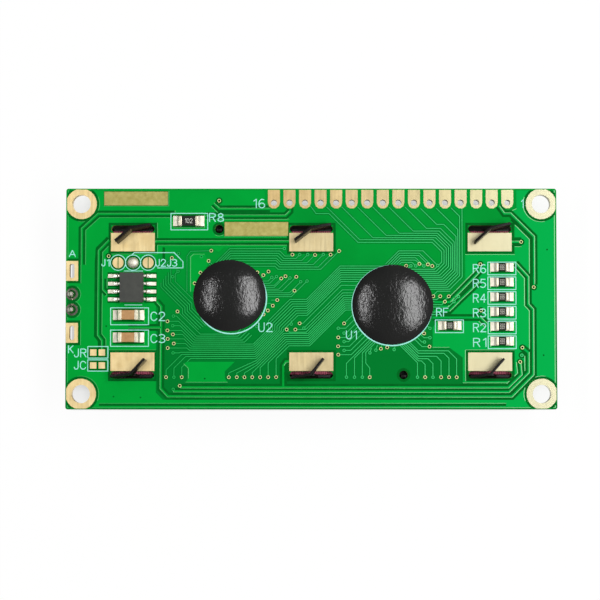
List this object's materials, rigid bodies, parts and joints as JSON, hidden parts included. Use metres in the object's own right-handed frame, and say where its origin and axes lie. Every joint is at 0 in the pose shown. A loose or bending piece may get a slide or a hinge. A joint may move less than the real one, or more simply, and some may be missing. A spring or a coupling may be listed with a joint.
{
  "type": "character lcd module",
  "caption": "Two-line character display module: green board with epoxy-covered dies and gold pads, held on a black folded bezel with a side-lit glass cell by twisted tabs.",
  "frame": {"origin": "middle of the board's outline, on the bezel's front face, on which the module lies", "axes": "+X along the board away from the backlight's pins, +Y across it towards the interface row, +Z from the bezel's face to the component side"},
  "size_m": [0.08, 0.036, 0.0124],
  "materials": {
    "solder_mask": "glossy green",
    "gold_plating": "flash gold, satin",
    "solder": "bright solder",
    "bezel_black": "black, satin",
    "cell_glass": "clear",
    "polariser": "glossy film",
    "silicone_pink": "soft, matte",
    "white_plastic": "moulded",
    "clear_acrylic": "clear",
    "white_film": "thin film",
    "lamp_board": "laminate",
    "lamp": "moulded",
    "tinned_pin": "tinned",
    "resistor_black": "glazed top",
    "capacitor_brown": "matte",
    "end_cap_tin": "tinned",
    "moulding_black": "moulded",
    "epoxy_black": "set from liquid",
    "silicon": "polished"
  },
  "bodies": {
    "root": {"circuit_board": "solder_mask", "corner_hole_plating": "gold_plating", "header_hole_plating": "gold_plating", "wire_slot_plating": "gold_plating", "tab_ground_pads": "gold_plating", "marking_fields": "gold_plating", "jumper_pads": "gold_plating", "link_pads": "gold_plating", "solder_bridge": "solder", "solder_joints": "solder", "backlight_pin_solder": "solder", "converter_chip_body": "moulding_black", "converter_chip_leads": "tinned_pin", "epoxy_blob_u1": "epoxy_black", "epoxy_blob_u2": "epoxy_black", "die_u1": "silicon", "die_u2": "silicon", "bezel": "bezel_black", "front_polariser": "polariser", "rear_polariser": "polariser", "front_glass": "cell_glass", "rear_glass": "cell_glass", "zebra_strip_upper": "silicone_pink", "zebra_strip_lower": "silicone_pink", "backlight_frame": "white_plastic", "diffuser_film": "white_film", "reflector_film": "white_film", "light_guide": "clear_acrylic", "led_board": "lamp_board", "leds": "lamp", "backlight_pins": "tinned_pin", "resistor_r1_body": "resistor_black", "resistor_r1_end_caps": "end_cap_tin", "resistor_r2_body": "resistor_black", "resistor_r2_end_caps": "end_cap_tin", "resistor_r3_body": "resistor_black", "resistor_r3_end_caps": "end_cap_tin", "resistor_r4_body": "resistor_black", "resistor_r4_end_caps": "end_cap_tin", "resistor_r5_body": "resistor_black", "resistor_r5_end_caps": "end_cap_tin", "resistor_r6_body": "resistor_black", "resistor_r6_end_caps": "end_cap_tin", "resistor_r8_body": "resistor_black", "resistor_r8_end_caps": "end_cap_tin", "resistor_rf_body": "resistor_black", "resistor_rf_end_caps": "end_cap_tin", "capacitor_c2_body": "capacitor_brown", "capacitor_c2_end_caps": "end_cap_tin", "capacitor_c3_body": "capacitor_brown", "capacitor_c3_end_caps": "end_cap_tin"}
  },
  "joints": []
}
